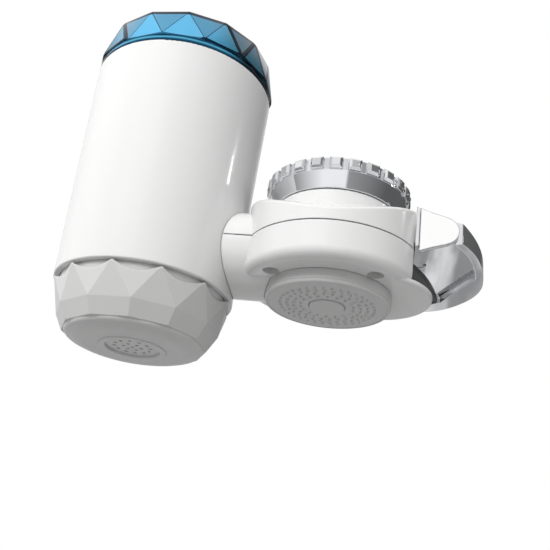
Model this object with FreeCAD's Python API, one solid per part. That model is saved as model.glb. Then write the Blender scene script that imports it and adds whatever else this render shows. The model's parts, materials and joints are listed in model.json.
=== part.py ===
"""Tap-mounted water filter: diverter valve drum, filter barrel on its side, lever and spray head.

Millimetres, +Z up. The origin is the spout seat: the top face of the adapter's flange, on the
drum's axis. +X points from the filter barrel to the lever, -Y to the user. Heights named *_RISE
and *_DROP are measured up and down from the drum's parting line.
"""
import math
import os

import FreeCAD, Part

V = FreeCAD.Vector
X, Y, Z = V(1, 0, 0), V(0, 1, 0), V(0, 0, 1)
BIG = 400.0

# Fits and gaps
RUN_GAP = 0.06        # radial running clearance of a turning fit
THREAD_GAP = 0.10     # radial clearance of a screwed or sliding fit
BODY_GAP = 0.30       # between faces of pieces that move past each other
SEAM_GAP = 0.45       # visible parting line between the two shells
LIP_GAP = 0.12        # around the register lip inside the parting line

# Valve drum
DRUM_R = 32.2
SHELL_WALL = 2.2
UNDERSIDE_DROP = 13.4
LOWER_EDGE_ROUND = 3.8
ROOF_RISE = 17.0      # crown of the vaulted roof
ROOF_R = 48.0         # radius of the vault, whose axis runs along X
ROOF_EDGE_ROUND = 1.4
END_FLAT_DEPTH = 3.2  # how far the drum's round is cut back to the flat end that the lever turns against
LOBE_R = 21.0         # round lobe of the underside that reaches out below the lever
LOBE_X = 16.0
LOBE_Y = 2.0
LOBE_EDGE_ROUND = 1.0
LIP_RISE = 1.6

# Neck between drum and barrel
NECK_R = 16.2
NECK_DROP = 1.1
STUB_GAP = 0.25
STUB_LENGTH = 8.0
STUB_GROOVE_DEPTH = 1.3
CLAMP_RIB_WIDTH = 1.4

# Platform, threaded neck, collar and adapter on top
PLATFORM_R = 22.7
SPIGOT_R = 19.6       # outside of the screw thread
SPIGOT_RISE = 20.7
INLET_STEM_R = 12.0
INLET_BORE_R = 9.0
GASKET_T = 1.6
FLANGE_T = 1.5
FLANGE_R = 18.8
TAP_THREAD_R = 12.0   # M24 x 1 thread of the aerator size
TAP_THREAD_LENGTH = 7.5
ADAPTER_BORE_R = 9.6
COLLAR_FOOT_R = 23.2
COLLAR_SHOULDER_R = 25.7
COLLAR_SHOULDER_RISE = 23.4
COLLAR_TOP_RISE = 28.2
COLLAR_TOOTH_COUNT = 24
COLLAR_TOOTH_DEPTH = 1.5
COLLAR_TOOTH_FILL = 0.68
COLLAR_TOOTH_BEVEL = 0.8
SPOUT_R = 14.5        # outside of the spout that enters the collar
SPOUT_GAP = 0.5
SCREEN_T = 0.6
SCREEN_HOLE_R = 0.75
SCREEN_PITCH = 2.3

# Diverter
SPOOL_AXIS_RISE = 5.8
SPOOL_R = 5.0
HOUSING_WALL = 2.3
HOUSING_LEFT_X = -21.0
SPOOL_LEFT_X = -13.0
SPOOL_SHAFT_R = 3.4
SPOOL_SHAFT_X = 24.0
SPOOL_SQUARE = 4.6
SPOOL_SQUARE_LENGTH = 6.6
WATERWAY_R = 3.0
SEAL_WIRE_R = 0.55    # section radius of the small sealing rings
HOUSING_TOP_DROP = 1.8  # from the roof's inside to the top of the housing
HOUSING_FOOT_X = 15.0
HOUSING_FOOT_T = 3.0

# Screws of the drum
SCREW_COUNT = 4
SCREW_CIRCLE_R = 25.4
SCREW_FIRST_ANGLE = 41.0
SCREW_R = 1.4
SCREW_HEAD_R = 2.5
SCREW_HEAD_H = 1.8
SCREW_BOSS_R = 3.7
SCREW_WELL_R = 2.9
SCREW_SEAT_DROP = 6.0
SCREW_TIP_RISE = 7.0

# Spray head
SPRAY_R = 22.6
SPRAY_FACE_DROP = 18.5
SPRAY_WALL = 1.1
SPRAY_EDGE_ROUND = 0.8
SPRAY_PLATE_T = 1.4
SPRAY_RECESS = 0.12   # of the plate's face, inside the cup's rim
SPRAY_CREASE = 0.35
SPRAY_CREASE_RISE = 1.2
SPRAY_SPIGOT_R = 6.6
SPRAY_RING_RADII = (9.6, 12.1, 14.6, 17.0)
SPRAY_RING_COUNTS = (18, 24, 30, 36)
NOZZLE_R = 0.62
NOZZLE_HEIGHT = 0.5
NOZZLE_HOLE_R = 0.28
BADGE_R = 6.4
BADGE_WELL = 0.6
BADGE_RISE = 0.5

# Filter barrel, on its own axis
BARREL_GAP = 2.8      # between the drum and the barrel's foot, across the neck
BARREL_BOTTOM_DROP = 19.7
BARREL_TOP_RISE = 69.7
BARREL_BOTTOM_R = 33.0
BARREL_TOP_R = 35.5
BARREL_WALL = 2.4
PORT_BOSS_R = 8.6
TRANSFER_R = 5.4
TRANSFER_BORE_R = 3.6
CAP_THREAD_LENGTH = 8.0
SEAL_GROOVE = 1.5     # depth of the sealing groove in each cap's thread

# Crystal cap on top
TOP_FACETS = 14
TOP_BAND_H = 2.4
TOP_BAND_PROUD = 0.1  # how far the cap's round band stands out past the barrel
TOP_FACET_PROUD = 0.9
TOP_TAPER = 2.8
TOP_HEIGHT = 16.0
TOP_PHASE = -118.0
TOP_WALL = 2.0
LINER_CUP_INSET = 7.0 # from the barrel's top radius, room for the crystal cap's wall
LINER_CUP_H = 10.5

# Faceted cap at the bottom
LOW_FACETS = 12
LOW_INSET = 0.2
LOW_TAPER = 3.2
LOW_FACET_H = 12.1
LOW_PHASE = -124.0
LOW_BELT_TAPER = 3.2
LOW_BELT_H = 5.7      # height of the flat-sided belt under the triangular facets
LOW_DOME_STEP = 2.8
LOW_DOME_H = 1.5
LOW_FLAT_H = 1.3
LOW_WALL = 2.4
LOW_RIM_DISH = 3.5    # depth of the hollow rim that scallops the facets' upper edges
OUTLET_R = 12.4
OUTLET_RING_W = 2.5
OUTLET_RING_H = 4.2
OUTLET_RING_DROP = 0.4  # how far the ring stands out below the cap
OUTLET_PLATE_T = 1.2
OUTLET_RING_RADII = (3.2, 6.6)
OUTLET_RING_COUNTS = (6, 12)
OUTLET_HOLE_R = 0.65

# Filter cartridge
CARTRIDGE_R = 22.5
CERAMIC_R = 21.4
CERAMIC_WALL = 6.0
CERAMIC_H = 58.0
CARTRIDGE_BASE_T = 5.0
CARTRIDGE_BASE_DROP = 8.0
NIPPLE_R = 7.6
NIPPLE_LENGTH = 9.0
CARTRIDGE_GRIP_R = 9.0
CARTRIDGE_GRIP_H = 7.0

# Lever, drawn level about the diverter's axis and then tilted to its rest angle; along X from its root
LEVER_TILT = -9.5
LEVER_FRONT = -14.0
LEVER_FRONT_LENGTH = 15.0
LEVER_OUTLINE = ((23.8, 0.2), (26.6, 13.5), (24.9, 22.3), (19.7, 28.0),
                 (12.2, 30.6), (4.7, 28.3), (0.0, 21.0))
PANEL_CORNERS = ((23.4, 10.6), (11.9, 25.0))
PAD_CORNERS = ((0.0, -3.0), (7.2, 13.0), (12.1, 32.0), (4.7, 32.0), (0.0, 24.0))
LEVER_ROOT_HALF = 10.0
LEVER_EDGE_LOW = -2.6
LEVER_EDGE_HIGH = 3.4
LEVER_LENGTH = 26.9
LEVER_WAIST = 11.7     # place of the waist along the lever
LEVER_WAIST_HALF = 5.6
LEVER_RIM = 2.8
LEVER_RECESS = 2.4
COVER_T = 1.5
COVER_TIP_R = 6.0
LEVER_STRIP = 1.3     # bright strip of the lever left bare beside the cover
PAD_INSET = 0.6
PAD_DEPTH = 3.6

# Derived sizes and places
BARREL_X = -(DRUM_R + BARREL_BOTTOM_R + BARREL_GAP)
TOP_BAND_R = BARREL_TOP_R + TOP_BAND_PROUD
LINER_CUP_R = BARREL_TOP_R - LINER_CUP_INSET
TOP_LOWER_R = BARREL_TOP_R + TOP_FACET_PROUD
TOP_UPPER_R = TOP_LOWER_R - TOP_TAPER
LOW_UPPER_R = BARREL_BOTTOM_R - LOW_INSET
LOW_LOWER_R = LOW_UPPER_R - LOW_TAPER
LOW_BELT_R = LOW_LOWER_R - LOW_BELT_TAPER
LOW_DOME_R = LOW_BELT_R - LOW_DOME_STEP
SEAM_Z = -(SPIGOT_RISE + GASKET_T + FLANGE_T)
AXIS_Z = SEAM_Z + SPOOL_AXIS_RISE
NECK_Z = SEAM_Z - NECK_DROP
UNDERSIDE_Z = SEAM_Z - UNDERSIDE_DROP
FLOOR_Z = UNDERSIDE_Z + SHELL_WALL
PLATFORM_Z = SEAM_Z + ROOF_RISE
SPIGOT_Z = SEAM_Z + SPIGOT_RISE
COLLAR_TOP_Z = SEAM_Z + COLLAR_TOP_RISE
HOUSING_BORE_R = SPOOL_R + RUN_GAP
HOUSING_R = HOUSING_BORE_R + HOUSING_WALL
END_FACE_X = DRUM_R - END_FLAT_DEPTH
HOUSING_RIGHT_X = END_FACE_X - SHELL_WALL
BARREL_BOTTOM_Z = SEAM_Z - BARREL_BOTTOM_DROP
BARREL_TOP_Z = SEAM_Z + BARREL_TOP_RISE
LEVER_ROOT_X = END_FACE_X + BODY_GAP
LEVER_END_X = LEVER_ROOT_X + LEVER_LENGTH
LEVER_WAIST_X = LEVER_ROOT_X + LEVER_WAIST
LEVER_FRONT_X = LEVER_ROOT_X + LEVER_FRONT_LENGTH
CARTRIDGE_SEAT_Z = SEAM_Z - CARTRIDGE_BASE_DROP
STUB_R = NECK_R - SHELL_WALL - STUB_GAP
SCREW_ANGLES = [SCREW_FIRST_ANGLE + 360.0 / SCREW_COUNT * i for i in range(SCREW_COUNT)]


def cyl_z(r, z0, z1, x=0.0, y=0.0):
    """Round bar standing from z0 up to z1."""
    return Part.makeCylinder(r, z1 - z0, V(x, y, z0), Z)


def cyl_x(r, x0, x1, z, y=0.0):
    """Round bar lying along X from x0 to x1."""
    return Part.makeCylinder(r, x1 - x0, V(x0, y, z), X)


def box(x0, x1, y0, y1, z0, z1):
    """Block between two corners."""
    return Part.makeBox(x1 - x0, y1 - y0, z1 - z0, V(x0, y0, z0))


def ring_z(r_out, r_in, z0, z1, x=0.0):
    """Flat ring standing from z0 up to z1."""
    return cyl_z(r_out, z0, z1, x).cut(cyl_z(r_in, z0 - 1, z1 + 1, x))


def o_ring(centre, axis, mid_r, wire_r=SEAL_WIRE_R):
    """Sealing ring of round section."""
    return Part.makeTorus(mid_r, wire_r, centre, axis)


def polar(r, degrees, x=0.0):
    """Point on a circle about the vertical line at x."""
    return x + r * math.cos(math.radians(degrees)), r * math.sin(math.radians(degrees))


def fuse(shapes):
    """One clean solid out of several overlapping ones."""
    first, rest = shapes[0], shapes[1:]
    return first.fuse(rest).removeSplitter()


def save(node, shape):
    """Write one sub-part; every solid in it has to be closed and valid."""
    if not shape.Solids or not shape.isValid():
        raise ValueError(node + " isn't a valid solid")
    shape.exportStep(os.path.join("parts", node + ".step"))
    print(f"{node:20s} {len(shape.Solids):3d} solids {shape.Volume / 1000.0:8.2f} cm3")


def round_edges(shape, radius, wanted):
    """Fillet the edges whose middle point passes the test."""
    edges = [e for e in shape.Edges if wanted(e.CenterOfMass, e)]
    return shape.makeFillet(radius, edges)


# ---------------------------------------------------------------- drum shells

def drum_envelope(inset):
    """Outside of the drum and its neck, drawn in by inset all round."""
    vault = cyl_x(ROOF_R - inset, -BIG, BIG, PLATFORM_Z - ROOF_R)
    body = cyl_z(DRUM_R - inset, UNDERSIDE_Z + inset, PLATFORM_Z)
    body = body.cut(box(END_FACE_X - inset, BIG, -BIG, BIG, -BIG, BIG))
    if inset == 0:
        body = round_edges(body, LOWER_EDGE_ROUND, lambda p, e: abs(p.z - UNDERSIDE_Z) < 0.01)
    body = body.common(vault)
    if inset == 0:
        body = round_edges(body, ROOF_EDGE_ROUND, lambda p, e: p.z > SEAM_Z + 1 and e.Length > 20
                           and abs(e.tangentAt(e.FirstParameter).z) < 0.9)
    neck = cyl_x(NECK_R - inset, BARREL_X, 0, NECK_Z)
    neck = neck.cut(cyl_z(SPRAY_R + LIP_GAP + inset, -BIG, UNDERSIDE_Z + inset))
    return body, neck


def barrel_cone(grow):
    """Outer cone of the barrel, larger by grow, run past both ends."""
    slope = (BARREL_TOP_R - BARREL_BOTTOM_R) / (BARREL_TOP_Z - BARREL_BOTTOM_Z)
    run = 30.0
    low, high = BARREL_BOTTOM_R - slope * run + grow, BARREL_TOP_R + slope * run + grow
    height = BARREL_TOP_Z - BARREL_BOTTOM_Z + 2 * run
    return Part.makeCone(low, high, height, V(BARREL_X, 0, BARREL_BOTTOM_Z - run), Z)


def shell_blank():
    """Both shells in one, hollow, before they are parted."""
    body, neck = drum_envelope(0)
    outer = fuse([body, neck])
    platform = cyl_z(PLATFORM_R, SEAM_Z + ROOF_RISE / 2, PLATFORM_Z)
    outer = fuse([outer, platform])
    hollow, bore = drum_envelope(SHELL_WALL)
    outer = outer.cut(fuse([hollow, bore]))
    return outer.cut(barrel_cone(SEAM_GAP / 2))


def clamp_rib(gap):
    """Inner rib of the neck's lower half that holds the barrel's stub by its groove."""
    x0 = stub_groove_x() + gap
    rib = cyl_x(NECK_R - SHELL_WALL / 2, x0, x0 + CLAMP_RIB_WIDTH, NECK_Z)
    return rib.cut(cyl_x(STUB_R - STUB_GROOVE_DEPTH + STUB_GAP, -BIG, BIG, NECK_Z))


def stub_end_x():
    """Free end of the barrel's stub."""
    slope = (BARREL_TOP_R - BARREL_BOTTOM_R) / (BARREL_TOP_Z - BARREL_BOTTOM_Z)
    return BARREL_X + BARREL_BOTTOM_R + slope * (NECK_Z - BARREL_BOTTOM_Z) + STUB_LENGTH


def stub_groove_x():
    """Barrel-side wall of the stub's groove."""
    return stub_end_x() - 2.2 * CLAMP_RIB_WIDTH


def upper_shell():
    shell = shell_blank().common(box(-BIG, BIG, -BIG, BIG, SEAM_Z + SEAM_GAP / 2, BIG))
    parts = [shell]
    roof = drum_envelope(SHELL_WALL / 2)[0]
    for angle in SCREW_ANGLES:
        x, y = polar(SCREW_CIRCLE_R, angle)
        boss = cyl_z(SCREW_BOSS_R, SEAM_Z + SEAM_GAP / 2, PLATFORM_Z, x, y).common(roof)
        parts.append(boss)
    shell = fuse(parts)
    for angle in SCREW_ANGLES:
        x, y = polar(SCREW_CIRCLE_R, angle)
        shell = shell.cut(cyl_z(SCREW_R + THREAD_GAP / 2, SEAM_Z - 1, SEAM_Z + SCREW_TIP_RISE + 1, x, y))
    shell = shell.cut(cyl_z(INLET_STEM_R + LIP_GAP, SEAM_Z, BIG))
    shell = shell.cut(cyl_z(DRUM_R - SHELL_WALL / 2, SEAM_Z, SEAM_Z + LIP_RISE + LIP_GAP).common(lip_zone()))
    return shell.cut(cyl_x(SPOOL_SHAFT_R + BODY_GAP, 0, BIG, AXIS_Z))


def lip_zone():
    """Part of the parting line that carries the register lip: not the neck, not the flat end."""
    ring = ring_z(DRUM_R, DRUM_R - SHELL_WALL - 0.01, SEAM_Z - BIG / 2, SEAM_Z + BIG / 2)
    return ring.common(box(-0.7 * DRUM_R, END_FACE_X - SHELL_WALL - 1, -BIG, BIG, -BIG, BIG))


def underside_lobe():
    """Thin round lip of the underside, just below the circle that the lever's front corner sweeps."""
    top = AXIS_Z - math.hypot(LEVER_FRONT, LEVER_ROOT_HALF) - BODY_GAP
    lobe = cyl_z(LOBE_R, UNDERSIDE_Z, top, LOBE_X, LOBE_Y)
    lobe = round_edges(lobe, LOBE_EDGE_ROUND, lambda p, e: abs(p.z - UNDERSIDE_Z) < 0.01)
    return lobe.cut(drum_envelope(SHELL_WALL)[0])


def lower_shell():
    below = box(-BIG, BIG, -BIG, BIG, -BIG, SEAM_Z - SEAM_GAP / 2)
    shell = shell_blank().common(below)
    lip_r = DRUM_R - SHELL_WALL / 2 - LIP_GAP
    lip = ring_z(lip_r, DRUM_R - SHELL_WALL, SEAM_Z - 2 * LIP_RISE, SEAM_Z + LIP_RISE)
    parts = [shell, lip.common(lip_zone()), clamp_rib(LIP_GAP).common(below), underside_lobe()]
    inside = drum_envelope(SHELL_WALL / 2)[0]
    for angle in SCREW_ANGLES:
        x, y = polar(SCREW_CIRCLE_R, angle)
        parts.append(cyl_z(SCREW_BOSS_R + 0.8, UNDERSIDE_Z, SEAM_Z - SEAM_GAP / 2, x, y).common(inside))
    shell = fuse(parts)
    for angle in SCREW_ANGLES:
        x, y = polar(SCREW_CIRCLE_R, angle)
        well = cyl_z(SCREW_WELL_R, UNDERSIDE_Z - 1, SEAM_Z - SCREW_SEAT_DROP, x, y)
        shell = shell.cut(well).cut(cyl_z(SCREW_R + BODY_GAP, UNDERSIDE_Z, SEAM_Z + 1, x, y))
    shell = shell.cut(cyl_z(SPRAY_SPIGOT_R + BODY_GAP, UNDERSIDE_Z - 1, SEAM_Z))
    return shell.cut(cyl_x(SPOOL_SHAFT_R + BODY_GAP, 0, BIG, AXIS_Z))


def shell_screws():
    screws = []
    for angle in SCREW_ANGLES:
        x, y = polar(SCREW_CIRCLE_R, angle)
        seat = SEAM_Z - SCREW_SEAT_DROP
        shank = cyl_z(SCREW_R, seat - SCREW_HEAD_H / 2, SEAM_Z + SCREW_TIP_RISE, x, y)
        head = cyl_z(SCREW_HEAD_R, seat - SCREW_HEAD_H, seat, x, y)
        screw = fuse([head, shank])
        for turn in (0, 90):
            slot = box(-SCREW_HEAD_R * 0.7, SCREW_HEAD_R * 0.7, -0.35, 0.35, -1, SCREW_HEAD_H / 2)
            slot.rotate(V(0, 0, 0), Z, angle + turn)
            slot.translate(V(x, y, seat - SCREW_HEAD_H))
            screw = screw.cut(slot)
        screws.append(screw)
    return Part.makeCompound(screws)


# ------------------------------------------------------- inlet, adapter, collar

def inlet_neck():
    """Threaded spigot on the platform, with a stem down to the valve housing."""
    bottom = housing_top_z() + LIP_GAP
    body = fuse([cyl_z(SPIGOT_R, PLATFORM_Z, SPIGOT_Z), cyl_z(INLET_STEM_R, bottom, SPIGOT_Z)])
    return body.cut(cyl_z(INLET_BORE_R, bottom - 1, BIG))


def housing_top_z():
    """Top of the housing's inlet boss, under the roof."""
    return PLATFORM_Z - SHELL_WALL - HOUSING_TOP_DROP


def inlet_seal():
    """Ring in the housing's face groove that seals the stem."""
    mid = (INLET_BORE_R + INLET_STEM_R) / 2
    return o_ring(V(0, 0, housing_top_z() - SEAL_WIRE_R + LIP_GAP / 2), Z, mid)


def screen_holes(r, z0, z1):
    """Square grid of small holes inside a circle."""
    steps = int(r / SCREEN_PITCH)
    rows = [i * SCREEN_PITCH for i in range(-steps, steps + 1)]
    spots = [(x, y) for x in rows for y in rows]
    inside = [p for p in spots if math.hypot(*p) < r - 1.2 * SCREEN_HOLE_R]
    return Part.makeCompound([cyl_z(SCREEN_HOLE_R, z0, z1, x, y) for x, y in inside])


def inlet_screen():
    """Thin sieve in the middle of the tap gasket."""
    z0 = SPIGOT_Z + (GASKET_T - SCREEN_T) / 2
    disc = cyl_z(ADAPTER_BORE_R, z0, z0 + SCREEN_T)
    return disc.cut(screen_holes(INLET_BORE_R, z0 - 1, z0 + 2))


def tap_gasket():
    return ring_z(FLANGE_R, ADAPTER_BORE_R, SPIGOT_Z, SPIGOT_Z + GASKET_T)


def adapter():
    """Flanged ring with the tap thread; its flange is held down by the collar."""
    flange = cyl_z(FLANGE_R, -FLANGE_T, 0)
    thread = cyl_z(TAP_THREAD_R, -FLANGE_T, TAP_THREAD_LENGTH)
    body = fuse([flange, thread]).cut(cyl_z(ADAPTER_BORE_R, -FLANGE_T - 1, BIG))
    return body.makeChamfer(0.6, [e for e in body.Edges if abs(e.CenterOfMass.z - TAP_THREAD_LENGTH) < 0.01
                                  and e.Length > 2 * math.pi * ADAPTER_BORE_R + 1])


def collar():
    """Knurled ring nut: threaded skirt below, lip over the adapter's flange above."""
    foot, shoulder = PLATFORM_Z + BODY_GAP, SEAM_Z + COLLAR_SHOULDER_RISE
    skirt = Part.makeCone(COLLAR_FOOT_R, COLLAR_SHOULDER_R, shoulder - foot, V(0, 0, foot), Z)
    core = cyl_z(COLLAR_SHOULDER_R - 0.4, shoulder, COLLAR_TOP_Z)
    body = fuse([skirt, core])
    pitch = 360.0 / COLLAR_TOOTH_COUNT
    tooth_w = math.radians(pitch * COLLAR_TOOTH_FILL) * COLLAR_SHOULDER_R
    teeth = []
    for i in range(COLLAR_TOOTH_COUNT):
        tooth = box(COLLAR_SHOULDER_R - 2, COLLAR_SHOULDER_R + COLLAR_TOOTH_DEPTH, -tooth_w / 2, tooth_w / 2,
                    shoulder + 0.2, COLLAR_TOP_Z - 0.3)
        outer = [e for e in tooth.Edges if e.CenterOfMass.x > COLLAR_SHOULDER_R + 1]
        tooth = tooth.makeChamfer(COLLAR_TOOTH_BEVEL, outer)
        tooth.rotate(V(0, 0, 0), Z, pitch * i)
        teeth.append(tooth)
    body = fuse([body] + teeth)
    lip_z = THREAD_GAP
    body = body.cut(cyl_z(SPIGOT_R + THREAD_GAP, foot - 1, lip_z))
    body = body.cut(cyl_z(SPOUT_R + SPOUT_GAP, foot - 1, COLLAR_TOP_Z + 1))
    return body.makeChamfer(0.5, [e for e in body.Edges if abs(e.CenterOfMass.z - COLLAR_TOP_Z) < 0.01
                                  and e.Length < 2 * math.pi * (SPOUT_R + SPOUT_GAP) + 1])


# -------------------------------------------------------------------- diverter

def valve_housing():
    """Body of the diverter: bore along X, ports up to the inlet, down to the spray, left to the filter."""
    barrel = cyl_x(HOUSING_R, HOUSING_LEFT_X, HOUSING_RIGHT_X, AXIS_Z)
    inlet = cyl_z(INLET_STEM_R, AXIS_Z, housing_top_z())
    spray = cyl_z(SPRAY_SPIGOT_R + HOUSING_WALL, FLOOR_Z, AXIS_Z)
    parts = [barrel, inlet, spray]
    for x in (-HOUSING_FOOT_X, HOUSING_FOOT_X):
        half = HOUSING_FOOT_T / 2
        parts.append(box(x - half, x + half, -HOUSING_R, HOUSING_R, FLOOR_Z, AXIS_Z))
    body = fuse(parts)
    body = body.cut(cyl_x(HOUSING_BORE_R, SPOOL_LEFT_X - BODY_GAP, BIG, AXIS_Z))
    body = body.cut(cyl_x(TRANSFER_R + LIP_GAP, -BIG, HOUSING_LEFT_X + 6.0, AXIS_Z))
    body = body.cut(cyl_x(WATERWAY_R, -BIG, 0, AXIS_Z))
    body = body.cut(cyl_z(WATERWAY_R, FLOOR_Z, BIG))
    body = body.cut(cyl_z(SPRAY_SPIGOT_R + LIP_GAP, FLOOR_Z - 1, FLOOR_Z + 4.4))
    mid = (INLET_BORE_R + INLET_STEM_R) / 2
    half = SEAL_WIRE_R + 0.1
    top = housing_top_z()
    body = body.cut(ring_z(mid + half, mid - half, top - 2 * SEAL_WIRE_R, top + 1))
    return body.cut(cyl_z(INLET_STEM_R + LIP_GAP, top, BIG))


def seal_places():
    """Where the sealing rings ride on the spool."""
    return (SPOOL_LEFT_X + 3.0, -SPOOL_R, SPOOL_R, SPOOL_SHAFT_X - 4.0)


def spool():
    """Turning plug: down its bore to the filter, or through its cross bore to the spray."""
    body = cyl_x(SPOOL_R, SPOOL_LEFT_X, SPOOL_SHAFT_X, AXIS_Z)
    end = LEVER_ROOT_X + SPOOL_SQUARE_LENGTH
    shaft = cyl_x(SPOOL_SHAFT_R, SPOOL_SHAFT_X - 1, LEVER_ROOT_X, AXIS_Z)
    half = SPOOL_SQUARE / 2
    square = box(SPOOL_SHAFT_X, end, -half, half, AXIS_Z - half, AXIS_Z + half)
    body = fuse([body, shaft, square])
    body = body.cut(cyl_x(WATERWAY_R, SPOOL_LEFT_X - 1, WATERWAY_R, AXIS_Z))
    body = body.cut(cyl_z(WATERWAY_R, AXIS_Z, BIG))
    body = body.cut(Part.makeCylinder(WATERWAY_R, 4 * SPOOL_R, V(0, -2 * SPOOL_R, AXIS_Z), Y))
    for x in seal_places():
        groove = cyl_x(SPOOL_R + 1, x - SEAL_WIRE_R - 0.1, x + SEAL_WIRE_R + 0.1, AXIS_Z)
        body = body.cut(groove.cut(cyl_x(SPOOL_R - 2 * SEAL_WIRE_R - 0.05, -BIG, BIG, AXIS_Z)))
    body = body.cut(cyl_z(SCREW_R, AXIS_Z - BIG, AXIS_Z - half + 1.2, LEVER_ROOT_X + SPOOL_SQUARE_LENGTH / 2))
    return tilt(body)


def spool_seals():
    rings = [o_ring(V(x, 0, AXIS_Z), X, SPOOL_R - SEAL_WIRE_R) for x in seal_places()]
    return tilt(Part.makeCompound(rings))


def spool_gland():
    """Ring in the housing's mouth that keeps the spool in."""
    ring = cyl_x(HOUSING_BORE_R, SPOOL_SHAFT_X + BODY_GAP, HOUSING_RIGHT_X, AXIS_Z)
    return ring.cut(cyl_x(SPOOL_SHAFT_R + RUN_GAP, 0, BIG, AXIS_Z))


# ----------------------------------------------------------------------- lever

def tilt(shape):
    """Turn what belongs to the lever from level to its rest angle."""
    turned = shape.copy()
    turned.rotate(V(0, 0, AXIS_Z), X, LEVER_TILT)
    return turned


def low_arc(rise):
    """Curve of the lever's hollow-ground lower face, moved up by rise."""
    root = V(LEVER_ROOT_X, 0, AXIS_Z - LEVER_ROOT_HALF + rise)
    waist = V(LEVER_WAIST_X, 0, AXIS_Z - LEVER_WAIST_HALF + rise)
    end = V(LEVER_END_X, 0, AXIS_Z + LEVER_EDGE_LOW + rise)
    return root, end, Part.Arc(root, waist, end).toShape()


def lever_band(rise_from, rise_to):
    """Layer of the lever that follows its lower face between two rises."""
    root, end, low = low_arc(rise_from)
    high_root, high_end, high = low_arc(rise_to)
    return lever_length([low, Part.makeLine(end, high_end), high, Part.makeLine(high_root, root)])


def lever_length(edges):
    """Side outline drawn out along the lever, from a little before its front."""
    side = Part.Face(Part.Wire(edges))
    side.translate(V(0, LEVER_FRONT - 1, 0))
    return side.extrude(V(0, BIG, 0))


def lever_blank():
    """Lever before it gets its plan outline: thick at the drum, thin at the rim."""
    root, end, low = low_arc(0)
    high_root = V(LEVER_ROOT_X, 0, AXIS_Z + LEVER_ROOT_HALF)
    high_waist = V(LEVER_WAIST_X, 0, AXIS_Z + LEVER_WAIST_HALF)
    high_end = V(LEVER_END_X, 0, AXIS_Z + LEVER_EDGE_HIGH)
    high = Part.Arc(high_end, high_waist, high_root).toShape()
    return lever_length([low, Part.makeLine(end, high_end), high, Part.makeLine(high_root, root)])


def lever_plan(rim):
    """Plan outline of the lever, drawn in by rim from its outer edge."""
    front = V(LEVER_FRONT_X - rim, LEVER_FRONT, 0)
    share = ((1, 0), (1, 0), (1, 1), (0.5, 1), (0, 1), (0, 1), (0, 1))
    side, widest, shoulder, tail, tail_mid, tail_end, heel = [
        V(LEVER_ROOT_X + x - rim * a, y - rim * b, 0) for (x, y), (a, b) in zip(LEVER_OUTLINE, share)]
    toe = V(LEVER_ROOT_X, LEVER_FRONT, 0)
    return [Part.makeLine(toe, front), Part.Arc(front, side, widest).toShape(),
            Part.Arc(widest, shoulder, tail).toShape(), Part.Arc(tail, tail_mid, tail_end).toShape(),
            Part.makeLine(tail_end, heel), Part.makeLine(heel, toe)]


def prism(edges):
    """Upright prism over a plan outline, far past the lever above and below."""
    face = Part.Face(Part.Wire(edges))
    face.translate(V(0, 0, AXIS_Z - 30))
    return face.extrude(V(0, 0, 60))


def pad_plan():
    """Plan outline of the black pad that fills the hollow on the drum's side."""
    a, b, c, d, e = [V(LEVER_ROOT_X + x, y, 0) for x, y in PAD_CORNERS]
    return [Part.Arc(a, b, c).toShape(), Part.makeLine(c, d), Part.makeLine(d, e), Part.makeLine(e, a)]


def panel_plan():
    """Plan outline of the hollow panel under the lever, with a straight far wall."""
    toe, front = V(LEVER_ROOT_X - 1, LEVER_FRONT, 0), V(LEVER_FRONT_X - LEVER_RIM, LEVER_FRONT, 0)
    side = V(LEVER_ROOT_X + LEVER_OUTLINE[0][0] - LEVER_RIM, LEVER_OUTLINE[0][1], 0)
    far, near = [V(LEVER_ROOT_X + x, y, 0) for x, y in PANEL_CORNERS]
    heel = V(LEVER_ROOT_X - 1, near.y, 0)
    return [Part.makeLine(toe, front), Part.Arc(front, side, far).toShape(), Part.makeLine(far, near),
            Part.makeLine(near, heel), Part.makeLine(heel, toe)]


def lever():
    whole = lever_blank().common(prism(lever_plan(0)))
    whole = whole.cut(box(LEVER_ROOT_X + LEVER_STRIP, BIG, -BIG, LEVER_FRONT + COVER_T, -BIG, BIG))
    whole = whole.cut(lever_band(-1, LEVER_RECESS).common(prism(panel_plan())))
    whole = whole.cut(lever_pad_raw())
    half = SPOOL_SQUARE / 2 + LIP_GAP / 2
    socket = box(0, LEVER_ROOT_X + SPOOL_SQUARE_LENGTH + 0.4, -half, half, AXIS_Z - half, AXIS_Z + half)
    whole = whole.cut(socket)
    grub_x = LEVER_ROOT_X + SPOOL_SQUARE_LENGTH / 2
    whole = whole.cut(cyl_z(SCREW_R, AXIS_Z - BIG, AXIS_Z, grub_x))
    return tilt(whole)


def lever_pad_raw():
    """Pad before it is tilted: from just inside the lower face up into the lever."""
    band = lever_band(PAD_INSET, PAD_INSET + PAD_DEPTH)
    return band.common(prism(pad_plan())).common(prism(lever_plan(0.6)))


def lever_pad():
    half = SPOOL_SQUARE / 2 + LIP_GAP / 2
    socket = box(0, LEVER_ROOT_X + SPOOL_SQUARE_LENGTH + 0.4, -half, half, AXIS_Z - half, AXIS_Z + half)
    return tilt(lever_pad_raw().cut(socket))


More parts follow.
